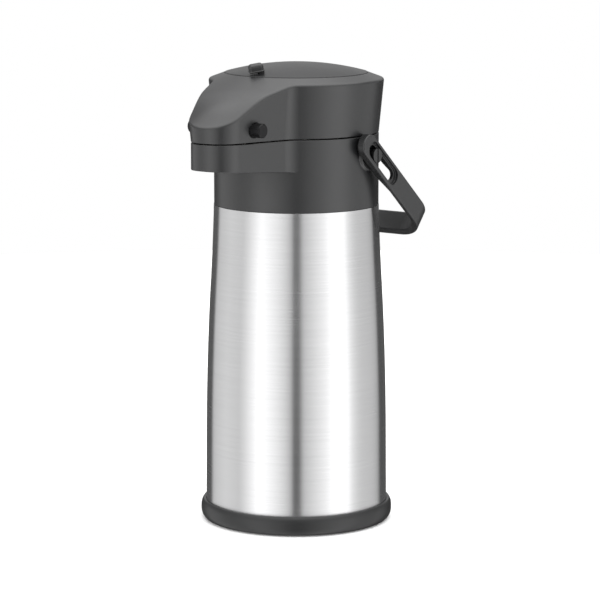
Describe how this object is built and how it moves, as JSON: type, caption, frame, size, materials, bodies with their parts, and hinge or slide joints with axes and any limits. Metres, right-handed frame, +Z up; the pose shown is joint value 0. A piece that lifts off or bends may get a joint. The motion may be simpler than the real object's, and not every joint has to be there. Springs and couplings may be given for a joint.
{
  "type": "vacuum airpot",
  "caption": "Pump-action vacuum airpot: brushed steel body, moulded spout head with domed push button and lock knob, bail handle, swivel base.",
  "frame": {"origin": "centre of the underside of the anti-slip pad, on the table", "axes": "+Z up the body's axis, -Y along the spout, +Y to the handle's crossbar, +X to the spout's right seen from behind"},
  "size_m": [0.165, 0.2257, 0.3972],
  "materials": {
    "head_plastic": "fine-textured dark grey moulding",
    "dome_plastic": "fine-textured dark grey moulding",
    "knob_plastic": "fine-textured dark grey moulding",
    "handle_plastic": "satin dark grey moulding",
    "base_plastic": "fine-textured dark grey moulding",
    "button_plastic": "polished black moulding",
    "screw_plastic": "satin dark grey moulding",
    "inner_plastic": "natural food-grade moulding",
    "slip_plastic": "white bearing moulding",
    "shell_steel": "brushed round the body",
    "liner_steel": "electropolished",
    "fastener_steel": "bright plated",
    "spring_steel": "drawn wire",
    "seal_rubber": "food-grade silicone",
    "bellows_rubber": "moulded rubber",
    "pad_rubber": "moulded rubber with a fine grain"
  },
  "bodies": {
    "base": {"swivel_plate": "inner_plastic", "anti_slip_pad": "pad_rubber", "slip_ring": "slip_plastic"},
    "vessel": {"swivel_screw": "fastener_steel", "base_cup": "base_plastic", "shell_bottom": "shell_steel", "base_screws": "fastener_steel", "outer_shell": "shell_steel", "inner_liner": "liner_steel", "neck_nut": "inner_plastic", "neck_seal": "seal_rubber", "collar": "head_plastic", "spout_cover": "head_plastic", "mouth_insert": "inner_plastic", "mouth_gasket": "seal_rubber", "dip_tube": "liner_steel", "spout_pipe": "liner_steel", "spout_nozzle": "button_plastic", "pivot_screw_right": "screw_plastic", "pivot_screw_left": "screw_plastic"},
    "lid": {"lid_housing": "head_plastic", "lid_base": "inner_plastic", "lid_screws": "fastener_steel", "hinge_pin": "fastener_steel", "bellows_seat": "inner_plastic", "air_valve": "seal_rubber", "bellows": "bellows_rubber", "return_spring": "spring_steel", "release_spring_right": "spring_steel", "release_spring_left": "spring_steel"},
    "pump": {"push_plate": "dome_plastic", "plunger": "inner_plastic"},
    "lock": {"lock_knob": "knob_plastic", "lock_cam": "inner_plastic"},
    "release_right": {"release_button_right": "button_plastic", "latch_hook_right": "inner_plastic"},
    "release_left": {"release_button_left": "button_plastic", "latch_hook_left": "inner_plastic"},
    "handle_pivots": {"handle_bush_right": "screw_plastic", "handle_bush_left": "screw_plastic"},
    "handle": {"handle_bail": "handle_plastic"}
  },
  "joints": [
    {"name": "swivel", "type": "hinge", "parent": "base", "child": "vessel", "pos_m": [0, 0, 0], "axis": [0, 0, 1], "continuous": true},
    {"name": "lid_hinge", "type": "hinge", "parent": "vessel", "child": "lid", "pos_m": [0, 0.074, 0.3366], "axis": [-1, 0, 0], "range_deg": [0, 95]},
    {"name": "pump_slide", "type": "slide", "parent": "lid", "child": "pump", "axis": [0, 0, -1], "range_m": [0, 0.028], "stiffness_N_per_m": 300, "springref_m": -0.02, "deforming": ["bellows", "return_spring"]},
    {"name": "lock_turn", "type": "hinge", "parent": "pump", "child": "lock", "pos_m": [0, -0.05, 0.38894], "axis": [0, -0.2134, 0.977], "range_deg": [0, 84]},
    {"name": "release_right_slide", "type": "slide", "parent": "lid", "child": "release_right", "axis": [-1, 0, 0], "range_m": [0, 0.0035], "stiffness_N_per_m": 400, "springref_m": -0.01, "deforming": ["release_spring_right"]},
    {"name": "release_left_slide", "type": "slide", "parent": "lid", "child": "release_left", "axis": [1, 0, 0], "range_m": [0, 0.0035], "stiffness_N_per_m": 400, "springref_m": -0.01, "deforming": ["release_spring_left"]},
    {"name": "handle_swing", "type": "hinge", "parent": "vessel", "child": "handle_pivots", "pos_m": [0, 0.007, 0.319], "axis": [1, 0, 0], "range_deg": [0, 130.5]},
    {"name": "handle_slide", "type": "slide", "parent": "handle_pivots", "child": "handle", "axis": [0, 0.7576, -0.6528], "range_m": [0, 0.007]}
  ]
}
